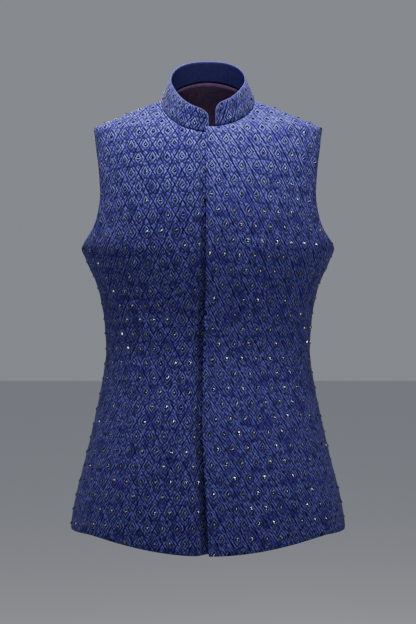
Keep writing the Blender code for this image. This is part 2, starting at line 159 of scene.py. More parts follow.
# %% [markdown]
# ## The edges of each panel
# A panel is drawn by its edges first: hem, side seam, armhole, shoulder seam, neckline and the
# free front edge. Each edge is a fine curve on the form, cut into equal steps. The number n
# says how many steps each CAD column gets, so the same edge can be had coarse or fine.


# %% Edge curves
def steps_of(net, axis=0):
    return np.linalg.norm(np.diff(net, axis=axis), axis=-1)


def distance_along(path):
    """How far each point of a path is from its first one."""
    return np.concatenate([[0], np.cumsum(steps_of(path))])


def read_at(stops, travelled, values):
    """The rows of a path's values at these distances along it."""
    return np.stack([np.interp(stops, travelled, column) for column in values.T], axis=-1)


def along(points, count, weight=(1, 1, 1)):
    """The curve through these points as count equal steps."""
    travelled = distance_along(points[:, :3] * weight)
    return read_at(np.linspace(0, travelled[-1], count + 1), travelled, points)


def joined(*curves):
    return np.concatenate([curves[0]] + [curve[1:] for curve in curves[1:]])


FINE = 1600
EASED = (1 - np.cos(np.linspace(0, math.pi, FINE))) / 2


def hem_height(x):
    return SIDE_HEM - CENTRE_DIP * np.clip(1 - (x / DIP_HALF_WIDTH) ** 2, 0, 1) ** DIP_POWER


def side_and_armhole(depth_of, armhole_of, n):
    """The side seam from the hem to the underarm, and the armhole from there to the shoulder."""
    z = SIDE_HEM + (UNDERARM - SIDE_HEM) * EASED
    seam = np.stack([half_width(z), 0 * z, z], axis=-1)
    z = UNDERARM + (SHOULDER_TIP - UNDERARM) * EASED
    hole = on_form(np.minimum(armhole_of(z), half_width(z)), z, depth_of)
    lower = along(seam, UNDERARM_ROW * n)
    return joined(lower, along(hole, (ROWS - UNDERARM_ROW) * n, ARMHOLE_WEIGHT))


def shoulder_seam(n):
    z = SHOULDER_TIP * EASED
    return along(np.stack([half_width(z), 0 * z, z], axis=-1), SHOULDER_COLUMNS * n)


def front_neckline(depth, collar_end, n):
    """From the collar's front end to the neck point. The fourth column is the turn in radians."""
    turn = np.linspace(math.asin(collar_end / NECK_HALF_WIDTH), math.pi / 2, FINE)
    points = on_form(NECK_HALF_WIDTH * np.sin(turn), -depth * np.cos(turn), front_depth)
    return along(np.column_stack([points, turn]), NECK_COLUMNS * n)


def back_neckline(n):
    turn = np.linspace(math.pi / 2, 3 * math.pi / 2, FINE)
    z = BACK_NECK_RISE * np.abs(np.cos(turn)) ** BACK_NECK_POWER
    sine, cosine = np.sin(turn), np.abs(np.cos(turn))
    radius = (np.abs(sine) ** SECTION_POWER + cosine**SECTION_POWER) ** (-1 / SECTION_POWER)
    points = [half_width(z) * radius * sine, back_depth(z) * radius * cosine, z, turn]
    return along(np.stack(points, axis=-1), 2 * NECK_COLUMNS * n)


def front_edges(n, edge_of, neck_depth, collar_end, ledge_columns):
    """Bottom, top, free edge and side of a front, built on the wearer's left."""
    neck = front_neckline(neck_depth, collar_end, n)[:, :3]
    ledge_x = np.linspace(edge_of(neck[0, 2]), collar_end, FINE)
    ledge = along(on_form(ledge_x, neck[0, 2] + 0 * ledge_x, front_depth), ledge_columns * n)
    top = joined(ledge, neck, shoulder_seam(n))
    side = side_and_armhole(front_depth, front_armhole, n)
    start = edge_of(hem_height(0.0))
    x = start + (half_width(SIDE_HEM) - start) * np.sin(np.linspace(0, math.pi / 2, FINE))
    bottom = along(on_form(x, hem_height(x), front_depth), len(top) - 1)
    z = np.linspace(bottom[0, 2], neck[0, 2], FINE)
    free = along(on_form(edge_of(z), z, front_depth), ROWS * n)
    side[0], side[-1], free[0], free[-1] = bottom[-1], top[-1], bottom[0], top[0]
    return bottom, top, free, side


def back_edges(n):
    """Bottom, top and both sides of the back."""
    shoulder = shoulder_seam(n)
    top = joined(shoulder[::-1], back_neckline(n)[:, :3], shoulder * (-1, 1, 1))
    left = side_and_armhole(back_depth, back_armhole, n)
    x = half_width(SIDE_HEM) * np.cos(np.linspace(0, math.pi, FINE))
    bottom = along(on_form(x, SIDE_HEM + 0 * x, back_depth), len(top) - 1)
    return bottom, top, left, left * (-1, 1, 1)


# %% [markdown]
# ## Nets of points
# A net is a grid of points laid between the four edges. It starts coarse, is evened out so that
# its cells are alike, and is then doubled three times. Doubling a coarse net is much quicker
# than evening a fine one, and the result is the same smooth surface.

# %% Fine nets
TOP_FADE, EVENING = 3, (60, 40, 24, 10)  # the second is rounds of evening at each fineness
LEVELS = 3
N = 2**LEVELS


def doubled(values):
    """Twice as many steps both ways, on smooth curves through the old points."""
    for axis in (0, 1):
        a = np.moveaxis(values, axis, 0)
        middle = (a[:-1] + a[1:]) / 2
        middle[1:-1] = (9 * (a[1:-2] + a[2:-1]) - a[:-3] - a[3:]) / 16
        out = np.empty((2 * len(a) - 1, *a.shape[1:]))
        out[::2], out[1::2] = a, middle
        values = np.moveaxis(out, 0, axis)
    return values


def first_net(bottom, top, left, right):
    """A coarse net between four edges. TOP_FADE keeps the neckline's curve near the top."""
    u = np.linspace(0, 1, len(bottom))[None, :, None]
    v = np.linspace(0, 1, len(left))[:, None, None]
    net = (1 - u) * left[:, None] + u * right[:, None]
    net = net + (1 - v**TOP_FADE) * (bottom[None] - (1 - u) * bottom[0] - u * bottom[-1])
    return net + v**TOP_FADE * (top[None] - (1 - u) * top[0] - u * top[-1])


def woven_net(edges_of):
    """A fine net on the form between the edges that edges_of(n) gives."""
    net = first_net(*edges_of(1))
    for level, steps in enumerate(EVENING[: LEVELS + 1]):
        net = settle(doubled(net) if level else net, 4)
        net[0], net[-1], net[:, 0], net[:, -1] = edges_of(2**level)
        for _ in range(steps):
            level_mean = (net[1:-1, :-2] + net[1:-1, 2:]) / 2
            upright_mean = (net[:-2, 1:-1] + net[2:, 1:-1]) / 2
            net[1:-1, 1:-1] = settle((level_mean + upright_mean) / 2, 1)
    return net


left_net = woven_net(lambda n: front_edges(
    n, outer_edge, LEFT_NECK_DEPTH, LEFT_COLLAR_END, LEFT_LEDGE_COLUMNS))
right_net = woven_net(lambda n: front_edges(
    n, lambda z: -UNDERLAP + 0 * z, RIGHT_NECK_DEPTH, RIGHT_COLLAR_END, RIGHT_LEDGE_COLUMNS))
back_net = woven_net(back_edges)
for label, net in (("left", left_net), ("right", right_net), ("back", back_net)):
    print(label, "net", net.shape[:2], "steps of", steps_of(net, 1).mean().round(2),
          "by", steps_of(net).mean().round(2), "mm")

# %% [markdown]
# ## Seams, the lapped front and soft creases
# Real panels are sewn edge to edge. Here the side and shoulder seams are all but shut, and a
# small gap is left at the neck seam. The right front sinks behind the left one, more at the hem,
# with a tuck beside the left one's edge, and that is the dark step down the middle. Cloth on a
# body is never quite smooth either: a few soft troughs and ridges are pressed in from a table of
# lines, each with its own width and height. They fade out before they reach a seam.

# %% The collar's seam ring
COLLAR_TOP_HALF_WIDTH, COLLAR_SIDE_TOP, COLLAR_BACK_TOP = 61.5, 32.0, 70.0
COLLAR_TOP_FRONT_Y, COLLAR_TOP_SIDE_Y, COLLAR_TOP_BACK_Y = -72.0, 2.0, 50.0
LEFT_COLLAR_DROP, RIGHT_COLLAR_DROP, COLLAR_DROP_POWER = 49.0, 57.0, 1.35
COLLAR_BACK_RISE_POWER, COLLAR_BACK_POWER, COLLAR_CORNER = 0.92, 0.8, 12.0
TUCK = ((-720, 9.0), (-600, 9.0), (-450, 8.0), (-250, 5.5), (-110, 3.0), (-55, 1.0), (50, 0))
TUCK_MIDDLE, TUCK_SHOWN, TUCK_HIDDEN = -2.0, 15.0, 8.0
ROUNDING_ERROR = 1e-9
tuck_depth = smooth_curve(TUCK, 1)


def sink_of(x, z):
    """How far the right front lies behind the form, with a tuck beside the left one's edge."""
    off = x - outer_edge(z)
    across = np.clip(1 + off / SINK_WIDTH, 0, 1)
    reach = np.where(off < TUCK_MIDDLE, TUCK_SHOWN, TUCK_HIDDEN)
    tuck = tuck_depth(z) * np.exp(-((off - TUCK_MIDDLE) / reach) ** 2)
    return sink_depth(z) * across**2 * (3 - 2 * across) + tuck


def collar_tops(points, turn, collar_end, drop):
    """Where the collar's top edge stands over each point of the neckline."""
    side, cosine, sine = np.sign(points[:, 0]), np.abs(np.cos(turn)), np.abs(np.sin(turn))
    share = (np.abs(points[:, 0]) - collar_end) / (NECK_HALF_WIDTH - collar_end)
    front_x = collar_end + share * (COLLAR_TOP_HALF_WIDTH - collar_end)
    back_x = COLLAR_TOP_HALF_WIDTH * sine**COLLAR_BACK_POWER
    front_y = COLLAR_TOP_SIDE_Y + (COLLAR_TOP_FRONT_Y - COLLAR_TOP_SIDE_Y) * cosine
    back_y = COLLAR_TOP_SIDE_Y + (COLLAR_TOP_BACK_Y - COLLAR_TOP_SIDE_Y) * cosine
    front_z = COLLAR_SIDE_TOP - drop * cosine**COLLAR_DROP_POWER
    rise = COLLAR_BACK_TOP - COLLAR_SIDE_TOP
    back_z = COLLAR_SIDE_TOP + rise * cosine**COLLAR_BACK_RISE_POWER
    in_front = turn <= math.pi / 2 + ROUNDING_ERROR
    x, y, z = (np.where(in_front, f, b) for f, b in
               ((front_x, back_x), (front_y, back_y), (front_z, back_z)))
    return np.stack([side * x, y, z], axis=-1)


def neck_ring(n):
    """The neckline's points, the collar's top over each, and the mitred seam's two ways."""
    left = front_neckline(LEFT_NECK_DEPTH, LEFT_COLLAR_END, n)
    right = front_neckline(RIGHT_NECK_DEPTH, RIGHT_COLLAR_END, n)[::-1]
    back = back_neckline(n)[1:-1]
    tops = np.concatenate([
        collar_tops(left, left[:, 3], LEFT_COLLAR_END, LEFT_COLLAR_DROP),
        collar_tops(back, back[:, 3], 0.0, 0.0),
        collar_tops(right, right[:, 3], RIGHT_COLLAR_END, RIGHT_COLLAR_DROP) * (-1, 1, 1),
    ])
    ring = np.concatenate([left[:, :3], back[:, :3], right[:, :3] * (-1, 1, 1)])
    cloth_out = form_normal(ring)
    sink = sink_of(ring[:, 0], ring[:, 2]) * (np.arange(len(ring)) > 3 * NECK_COLUMNS * n)
    ring[:, 1] += sink
    tops[:, 1] += sink
    tangent = unit(np.gradient(ring, axis=0))
    collar_out = unit(np.cross(tops - ring, tangent))
    collar_out *= np.sign((collar_out * cloth_out).sum(axis=1))[:, None]
    middle = cloth_out + collar_out
    inward = -2 * middle / (middle**2).sum(axis=1)[:, None]
    across = unit(np.cross(tangent, inward))
    across *= np.sign((across * (tops - ring)).sum(axis=1))[:, None]
    return ring, tops, inward, across


ring, tops, ring_in, ring_across = neck_ring(N)
print("neck seam:", round(float(steps_of(ring).sum())), "mm round")

# %% Creases and seam gaps
SEWN_SHUT, CREASE_MARGIN = 0.01, (4, 26)
CREASE_SWING, CREASE_TURNS, CREASE_TAPER = 5.0, 3.1, 1.3
CREASES = (  # in front or behind, from x and z, to x and z, half width, height of the ridge
    ("front", 168, -262, 70, -372, 13, -1.5), ("front", 150, -300, 48, -392, 15, 1.2),
    ("front", -170, -266, -80, -362, 13, -1.4), ("front", -150, -308, -60, -400, 15, 1.0),
    ("front", 120, -560, 134, -640, 17, 1.3), ("front", 62, -590, 66, -650, 15, -1.1),
    ("front", -118, -556, -136, -642, 17, 1.3), ("front", -66, -580, -72, -648, 15, -1.2),
    ("front", 128, -118, 96, -176, 14, -1.0), ("front", -126, -116, -92, -178, 14, -1.0),
    ("front", -60, -250, -34, -420, 18, -1.0), ("front", 70, -200, 40, -330, 20, 0.8),
    ("back", 110, -400, -40, -412, 11, -2.0), ("back", 60, -378, -120, -386, 11, 1.8),
    ("back", 90, -432, -100, -440, 12, 1.5), ("back", 100, -540, 118, -640, 20, 1.6),
    ("back", -96, -530, -116, -640, 20, 1.6), ("back", 10, -560, 4, -645, 18, -1.5),
    ("back", 130, -150, 60, -230, 18, -1.6), ("back", -130, -150, -66, -236, 18, -1.6),
)


def crease_height(points, place):
    """Soft ridges and troughs: each is a rounded bump along a line, strongest in its middle."""
    x, z = points[..., 0], points[..., 2]
    total = np.zeros_like(x)
    for where, x0, z0, x1, z1, width, height in CREASES:
        if where != place:
            continue
        run, rise = x1 - x0, z1 - z0
        length = math.hypot(run, rise)
        t = ((x - x0) * run + (z - z0) * rise) / length**2
        off = ((x - x0) * rise - (z - z0) * run) / length
        off = off + CREASE_SWING * np.sin(CREASE_TURNS * t + x0)
        lengthwise = np.clip(CREASE_TAPER - np.abs(2 * t - 1), 0, CREASE_TAPER) / CREASE_TAPER
        total += height * lengthwise**2 * (3 - 2 * lengthwise) * np.exp(-((off / width) ** 2))
    return total


def edge_distance(net):
    """How far each point of a net is from the nearest edge of the panel, along the cloth."""
    found = []
    for axis in (0, 1):
        steps = steps_of(net, axis)
        zero = np.zeros_like(np.take(steps, [0], axis=axis))
        travelled = np.concatenate([zero, np.cumsum(steps, axis=axis)], axis=axis)
        whole = np.take(travelled, [-1], axis=axis)
        found += [travelled, whole - travelled]
    return np.minimum.reduce(found)


def smooth_step(x, low, high):
    t = np.clip((x - low) / (high - low), 0, 1)
    return t * t * (3 - 2 * t)


def part_panel(net, place, mirrored=False):
    """Shuts the seams and presses the creases in. Gives the net, its way in and its margin."""
    fold = NECK_COLUMNS * N
    if place == "front":
        net[:, -1, 1] -= np.where(np.abs(net[:, -1, 1]) < HALF_SEAM, SEWN_SHUT, 0)
        net[-1, -SHOULDER_COLUMNS * N - 1 :, 1] = -SEWN_SHUT
    else:
        for edge in (net[:, 0], net[:, -1], net[-1, : SHOULDER_COLUMNS * N + 1],
                     net[-1, -SHOULDER_COLUMNS * N - 1 :]):
            edge[:, 1] += np.where(np.abs(edge[:, 1]) < HALF_SEAM, SEWN_SHUT, 0)
    margin = edge_distance(net)
    way_in = -form_normal(net)
    if mirrored:
        net, way_in = net * (-1, 1, 1), way_in * (-1, 1, 1)
        net[..., 1] += sink_of(net[..., 0], net[..., 2])
    creases = crease_height(net, place) * smooth_step(margin, *CREASE_MARGIN)
    net = net - way_in * creases[..., None]
    first = {"front": net.shape[1] - 1 - SHOULDER_COLUMNS * N - fold, "back": SHOULDER_COLUMNS * N}
    part = np.arange(fold + 1) if place == "front" else np.arange(fold, 3 * fold + 1)
    if mirrored:
        part = len(ring) - 1 - part
    columns = slice(first[place], first[place] + len(part))
    net[-1, columns] -= HALF_SEAM * ring_across[part]
    way_in[-1, columns] = ring_in[part]
    return net, way_in, margin


left_panel = part_panel(left_net, "front")
right_panel = part_panel(right_net, "front", mirrored=True)
back_panel = part_panel(back_net, "back")
print("right front's depth at the hem:", round(float(sink_depth(-700)), 1), "mm")

# %% [markdown]
# ## Laying each panel flat
# Embroidery is worked on flat cloth before it is cut, so its lattice follows the cloth's grain
# and not the room's axes. Blender's unwrap does what a pattern cutter does: it flattens a curved
# panel with as little stretch as it can. The flat shape is turned so that the grain is upright.


# %% Flatten with the unwrap operator
def grid_faces(rows, columns, flip=False):
    """The four-sided faces of a grid of points, by index."""
    index = np.arange(rows * columns).reshape(rows, columns)
    corners = [index[:-1, :-1], index[:-1, 1:], index[1:, 1:], index[1:, :-1]]
    return np.stack(corners[::-1] if flip else corners, axis=-1).reshape(-1, 4)


def new_mesh(name, points, faces):
    """A mesh object from points in millimetres, linked and made active."""
    mesh = bpy.data.meshes.new(name)
    mesh.from_pydata((np.asarray(points).reshape(-1, 3) * MM).tolist(), [], faces)
    thing = bpy.data.objects.new(name, mesh)
    bpy.context.scene.collection.objects.link(thing)
    bpy.ops.object.select_all(action="DESELECT")
    thing.select_set(True)
    bpy.context.view_layer.objects.active = thing
    return thing


def corner_points(mesh):
    """The index of the point at each corner of a mesh's faces."""
    corner = np.zeros(len(mesh.loops), int)
    mesh.loops.foreach_get("vertex_index", corner)
    return corner


def laid_flat(net, stride, upright):
    """The panel's flat shape in mm: x across, y up. upright picks the points of a grain line."""
    coarse = net[::stride, ::stride]
    rows, columns = coarse.shape[:2]
    trial = new_mesh("flat_trial", coarse, grid_faces(rows, columns).tolist())
    bpy.ops.object.mode_set(mode="EDIT")
    bpy.ops.mesh.select_all(action="SELECT")
    bpy.ops.uv.unwrap(method="MINIMUM_STRETCH", correct_aspect=False, margin=0.0)
    bpy.ops.object.mode_set(mode="OBJECT")
    mesh = trial.data
    loose = np.zeros(2 * len(mesh.loops))
    mesh.uv_layers.active.data.foreach_get("uv", loose)
    flat = np.zeros((rows * columns, 2))
    flat[corner_points(mesh)] = loose.reshape(-1, 2)
    bpy.data.objects.remove(trial, do_unlink=True)
    bpy.data.meshes.remove(mesh)
    flat = flat.reshape(rows, columns, 2)
    flat *= steps_of(coarse).sum() / steps_of(flat).sum()
    a, b = flat[:-1, :-1], flat[1:, :-1] - flat[:-1, :-1]
    turned = (flat[:-1, 1:] - a)[..., 0] * b[..., 1] - (flat[:-1, 1:] - a)[..., 1] * b[..., 0]
    if turned.mean() * np.sign(coarse[0, -1, 0] - coarse[0, 0, 0]) < 0:
        flat[..., 0] *= -1
    line = flat[upright]
    run = line[-1] - line[0]
    turn = math.pi / 2 - math.atan2(run[1], run[0])
    cosine, sine = math.cos(turn), math.sin(turn)
    flat = flat @ np.array([[cosine, sine], [-sine, cosine]])
    while len(flat) < len(net):
        flat = doubled(flat)
    return flat


def cell_areas(net):
    """The area of each cell of a net, flat or curved, in square millimetres."""
    a, b = net[1:, 1:] - net[:-1, :-1], net[1:, :-1] - net[:-1, 1:]
    if net.shape[-1] == 2:
        return np.abs(a[..., 0] * b[..., 1] - a[..., 1] * b[..., 0]) / 2
    return np.linalg.norm(np.cross(a, b), axis=-1) / 2


def anchored(flat, net, x, z):
    """Slides a flat shape so that the point nearest to x and z on the panel gets those values."""
    near = np.abs(net[..., 0] - x) + np.abs(net[..., 2] - z)
    return flat + (x, z) - flat[np.unravel_index(near.argmin(), near.shape)]


PANELS = {"left": left_panel, "right": right_panel, "back": back_panel}
NAMES = {"left": "front_left", "right": "front_right", "back": "back"}
COARSER, CHEST_HEIGHT = N // 2, -200
flats = {}
for label, panel in PANELS.items():
    grain = back_net.shape[1] // 2 // COARSER if label == "back" else 0
    flat = laid_flat(panel[0], COARSER, (slice(None), grain))
    flats[label] = anchored(flat, panel[0], 0, CHEST_HEIGHT)
    size = np.ptp(flats[label].reshape(-1, 2), axis=0)
    print(label, "cut from", size.round(), "mm, area", round(cell_areas(flat).sum() / 1e6, 4),
          "m2, on the body", round(cell_areas(panel[0]).sum() / 1e6, 4))

# %% [markdown]
# ## The lattice on the cloth
# The stones stand in rows 22.7 mm apart and 22.6 mm from each other, every second row shifted by
# half a step. Between them run two families of diagonals, which close a diamond round each
# stone. One helper gives, for any place on the flat cloth, how far into its diamond it is, so
# that the relief, the colours and the stones all share one lattice.

# %% The lattice
PITCH, ROW_STEP, SWELL_POWER = 22.6, 22.7, 0.7
ORIGINS = {"left": (15.6, -182.0), "right": (-15.2, -190.0), "back": (0.0, -190.0)}
for label, origin in ORIGINS.items():
    flats[label] = flats[label] - origin


def in_diamond(flat):
    """Places inside the nearest diamond along both families of diagonals, from -0.5 to 0.5."""
    a, b = flat[..., 0] / PITCH, flat[..., 1] / (2 * ROW_STEP)
    p, q = a + b, a - b
    return p - np.round(p), q - np.round(q)


def quilting(flat, margin, height, fade):
    """How far the cloth swells in each diamond. It is flat on the diagonals and at the edges."""
    p, q = in_diamond(flat)
    swell = (np.cos(math.pi * p) * np.cos(math.pi * q)) ** SWELL_POWER
    return height * swell * smooth_step(margin, *fade)


print("diamonds are", PITCH, "by", 2 * ROW_STEP, "mm")

# %% [markdown]
# ## Cloth with a real thickness
# Each panel is a thin closed shell: an outer face that carries the embroidery's relief, an inner
# face with half as many points, and a rim that joins them. A Solidify modifier could thicken a
# plain sheet, but then both faces would carry the relief and the same number of points.


# %% Make a cloth shell
EDGE_DROP, EDGE_WIDTH = 0.7, 1.6


def border(rows, columns, start=0):
    """The indices round a grid of points, counter-clockwise."""
    index = start + np.arange(rows * columns).reshape(rows, columns)
    return np.concatenate([index[0, :-1], index[:-1, -1], index[-1, :0:-1], index[:0:-1, 0]])


def cloth_shell(name, outer, inner, flat, flip):
    """A closed shell between a net and an inner net of every second point."""
    rows, columns = outer.shape[:2]
    low_rows, low_columns = inner.shape[:2]
    count = rows * columns
    faces = grid_faces(rows, columns, flip).tolist()
    fine = border(rows, columns)
    low = border(low_rows, low_columns, count)
    f0, f1, f2 = fine[::2], fine[1::2], np.roll(fine, -2)[::2]
    c0, c1 = low, np.roll(low, -1)
    threes = ((f1, f0, c0), (f2, f1, c1), (f1, c0, c1))
    rim = np.concatenate([np.stack(three, axis=-1) for three in threes])
    rim_first, inside_first = len(faces), len(faces) + len(rim)
    faces += (rim[:, ::-1] if flip else rim).tolist()
    faces += (grid_faces(low_rows, low_columns, not flip) + count).tolist()
    thing = new_mesh(name, np.concatenate([outer.reshape(-1, 3), inner.reshape(-1, 3)]), faces)
    mesh = thing.data
    places = np.concatenate([flat.reshape(-1, 2), flat[::2, ::2].reshape(-1, 2)]) * MM
    mesh.uv_layers.new(name="cloth").data.foreach_set("uv", places[corner_points(mesh)].ravel())
    number = np.arange(len(mesh.polygons))
    mesh.polygons.foreach_set("material_index", (number >= inside_first).astype(int))
    mesh.polygons.foreach_set("use_smooth", (number < rim_first) | (number >= inside_first))
    return thing


def panel_shell(name, panel, flat, flip, relief, start=0.0, wall=WALL):
    """A panel's cloth, from start behind its net to wall behind that. Its edges are rounded off."""
    net, way_in, margin = panel
    rise = relief - EDGE_DROP * np.exp(-((margin / EDGE_WIDTH) ** 2))
    outer = net + way_in * (start - rise)[..., None]
    inner = (net + way_in * (start + wall))[::2, ::2]
    return cloth_shell(name, outer, inner, flat, flip)


RELIEF, RELIEF_FADE, UNDERLAP_FADE = 0.8, (1, 8), (7, 12)
pieces, reliefs = {}, {}
for label, panel in PANELS.items():
    net, _, margin = panel
    reliefs[label] = quilting(flats[label], margin, RELIEF, RELIEF_FADE)
    relief = reliefs[label]
    if label == "right":
        relief = relief * smooth_step(outer_edge(net[..., 2]) - net[..., 0], *UNDERLAP_FADE)
    name = f"{NAMES[label]}_cloth"
    pieces[label] = panel_shell(name, panel, flats[label], label == "right", relief)
    print(name, len(pieces[label].data.polygons), "faces")

# %% The back's lining
first = LINING_FIRST_ROW * N
net, way_in, margin = (part[first:].copy() for part in back_panel)
way_in[-1] = way_in[-2]
pieces["lining"] = panel_shell("lining_back_cloth", (net, way_in, margin), flats["back"][first:],
                               False, 0 * margin, WALL + SEAM, LINING_WALL)
print("lining", len(pieces["lining"].data.polygons), "faces")

# %% [markdown]
# ## The collar band
# The collar stands on the neckline and leans in towards its top edge. Its two front ends are
# rounded. The columns crowd together at those corners, so that the round is smooth. The plain
# facing follows the band on the inside, and a thin cord covers the edge where the two meet.


# %% Collar and facing
COLLAR_ROWS, COLLAR_COLUMNS, CORNER_STEPS, COLLAR_ORIGIN = 24, 240, 12, (0.0, 11.0)
COLLAR_RELIEF, COLLAR_FADE = 0.7 * RELIEF, (1, 7)


def collar_net():
    """The band's net, its way in, its flat shape and its height at each column."""
    low = ring + HALF_SEAM * ring_across
    travelled = distance_along(tops)
    whole = travelled[-1]
    bend = COLLAR_CORNER * (1 - np.cos(np.linspace(0, math.pi / 2, CORNER_STEPS + 1)))
    plain_steps = COLLAR_COLUMNS - 2 * CORNER_STEPS
    plain = np.linspace(COLLAR_CORNER, whole - COLLAR_CORNER, plain_steps + 1)
    stops = np.concatenate([bend[:-1], plain, whole - bend[-2::-1]])
    low, high, seam_in = (read_at(stops, travelled, values) for values in (low, tops, ring_in))
    near_end = np.minimum(np.minimum(stops, whole - stops), COLLAR_CORNER)
    drop = COLLAR_CORNER - np.sqrt(COLLAR_CORNER**2 - (COLLAR_CORNER - near_end) ** 2)
    up = high - low
    height = np.linalg.norm(up, axis=1)
    high = high - up * (drop / height)[:, None]
    share = np.linspace(0, 1, COLLAR_ROWS + 1)[:, None, None]
    net = low + share * (high - low)
    normal = unit(np.cross(np.gradient(net, axis=1), np.gradient(net, axis=0)))
    way_in = normal * -np.sign((normal[1] * -seam_in).sum(axis=-1))[None, :, None]
    way_in[0] = seam_in
    level = distance_along(net[COLLAR_ROWS // 2])
    across = np.broadcast_to(level - level[-1] / 2, net.shape[:2])
    flat = np.stack([-across, share[..., 0] * (height - drop)], axis=-1)
    return net, way_in, flat, height


net, way_in, flat, height = collar_net()
collar_flat = flat - COLLAR_ORIGIN
collar_panel = net, way_in, edge_distance(net)
collar_relief = quilting(collar_flat, collar_panel[2], COLLAR_RELIEF, COLLAR_FADE)
pieces["collar"] = panel_shell("collar_cloth", collar_panel, collar_flat, False, collar_relief)
pieces["facing"] = panel_shell("collar_facing_cloth", collar_panel, collar_flat, False,
                               0 * collar_relief, WALL + SEAM, LINING_WALL)
print("collar band is", height.min().round(), "to", height.max().round(), "mm high")

# %% [markdown]
# ## The cord on the collar's edge
# A cord is a circle swept along a path. The path climbs one front end, runs round the top edge
# and goes down the other end. Every ring of points is turned with the path, and the two ends are
# closed with a cap. Its own UV map counts along and round it, for the twist of its threads.

# %% Sweep the cord
PIPING_RADIUS, PIPING_SIDES, PIPING_RINGS = 1.1, 10, 420
PIPING_START, PIPING_SUNK = 3.0, 1.2


def swept(name, path, way, radius, sides):
    """A closed tube along a path. way is a side direction for each point of it."""
    tangent = unit(np.gradient(path, axis=0))
    way = unit(way - (way * tangent).sum(axis=1)[:, None] * tangent)
    other = np.cross(tangent, way)
    turn = np.linspace(0, 2 * math.pi, sides, endpoint=False)
    rings = path[:, None] + radius * (np.cos(turn)[:, None] * way[:, None]
                                      + np.sin(turn)[:, None] * other[:, None])
    count, faces = len(path), []
    for i in range(count - 1):
        for j in range(sides):
            k = (j + 1) % sides
            faces.append((i * sides + j, i * sides + k, (i + 1) * sides + k, (i + 1) * sides + j))
    faces += [tuple(range(sides))[::-1], tuple((count - 1) * sides + j for j in range(sides))]
    thing = new_mesh(name, rings, faces)
    travelled = distance_along(path) * MM
    uv = thing.data.uv_layers.new(name="cord").data
    for polygon in thing.data.polygons:
        for loop in polygon.loop_indices:
            index = thing.data.loops[loop].vertex_index
            uv[loop].uv = (travelled[index // sides], (index % sides) / sides)
    thing.data.shade_smooth()
    return thing


edge_middle = net + way_in * ((WALL + SEAM + LINING_WALL) / 2)
path, through = (np.concatenate([values[:-1, 0], values[-1], values[-2::-1, -1]])
                 for values in (edge_middle, way_in))
outward = unit(np.cross(np.gradient(path, axis=0), through))
outward *= np.sign((outward * (path - net[0].mean(axis=0))).sum())
path = path + outward * (PIPING_RADIUS + SEAM - PIPING_SUNK)
travelled = distance_along(path)
stops = np.linspace(PIPING_START, travelled[-1] - PIPING_START, PIPING_RINGS)
path, through = (read_at(stops, travelled, values) for values in (path, through))
pieces["piping"] = swept("collar_piping_cord", path, through, PIPING_RADIUS, PIPING_SIDES)
print("cord", round(float(stops[-1])), "mm long")

# %% [markdown]
# ## Stones in the diamonds
# A small stone in a metal ring is sewn into each diamond. One is modelled with the operators: a
# short cone is the ring, its top is inset and sunk, and inset and lifted again for the dome.
# Then it is copied on to every lattice place of a panel that lies well inside its edges, turned
# to stand on the cloth, and each panel's stones are one joined mesh. The stones are pear-shaped,
# so the cone's points are drawn out towards the top of the diamond. The dome is shaded smooth
# and the ring stays faceted. Each stone leans a little differently, as hand-sewn ones do.

# %% One stone, with the operators
STONE_RADIUS, STONE_TOP_RADIUS, STONE_HEIGHT, STONE_SIDES = 2.5, 2.15, 1.0, 10
STONE_INSETS = ((0.4, 0.2), (0.12, -0.3), (0.5, 0.62), (0.6, 0.3))  # thickness, depth
DOME_RADIUS, STONE_STRETCH = 1.6, 0.55
bpy.ops.mesh.primitive_cone_add(
    vertices=STONE_SIDES, radius1=STONE_RADIUS, radius2=STONE_TOP_RADIUS, depth=STONE_HEIGHT,
    rotation=(0, 0, math.pi / STONE_SIDES))
stone = bpy.context.object
stone.name = "one_stone"
bpy.ops.object.transform_apply(location=True, rotation=True, scale=True)
bpy.ops.object.mode_set(mode="EDIT")
bpy.ops.mesh.select_mode(type="FACE")
bpy.ops.mesh.select_all(action="DESELECT")
bpy.ops.object.mode_set(mode="OBJECT")
for polygon in stone.data.polygons:
    polygon.select = polygon.normal.z > 0.9
bpy.ops.object.mode_set(mode="EDIT")
for thickness, depth in STONE_INSETS:
    bpy.ops.mesh.inset(thickness=thickness, depth=depth)
bpy.ops.object.mode_set(mode="OBJECT")
stone_points = np.array([v.co for v in stone.data.vertices])
stone_points[:, 1] *= 1 + STONE_STRETCH * np.clip(stone_points[:, 1] / STONE_RADIUS, 0, 1) ** 2
stone_faces = [tuple(polygon.vertices) for polygon in stone.data.polygons]
stone_smooth = [polygon.center.xy.length < DOME_RADIUS and polygon.normal.z > 0
                for polygon in stone.data.polygons]
bpy.data.objects.remove(stone, do_unlink=True)
print("one stone:", len(stone_faces), "faces,", np.ptp(stone_points[:, 2]).round(2), "mm high")

# %% Stones on every panel
STONE_MARGIN, FRONT_STONE_MARGIN, BESIDE_FRONT = 5.0, 2.8, 15
FARTHEST_POINT, LEAN, STONE_SIZES, CLEAR_OF_EDGE = 3, 0.1, (0.92, 1.08), 1
chance = np.random.default_rng(7)


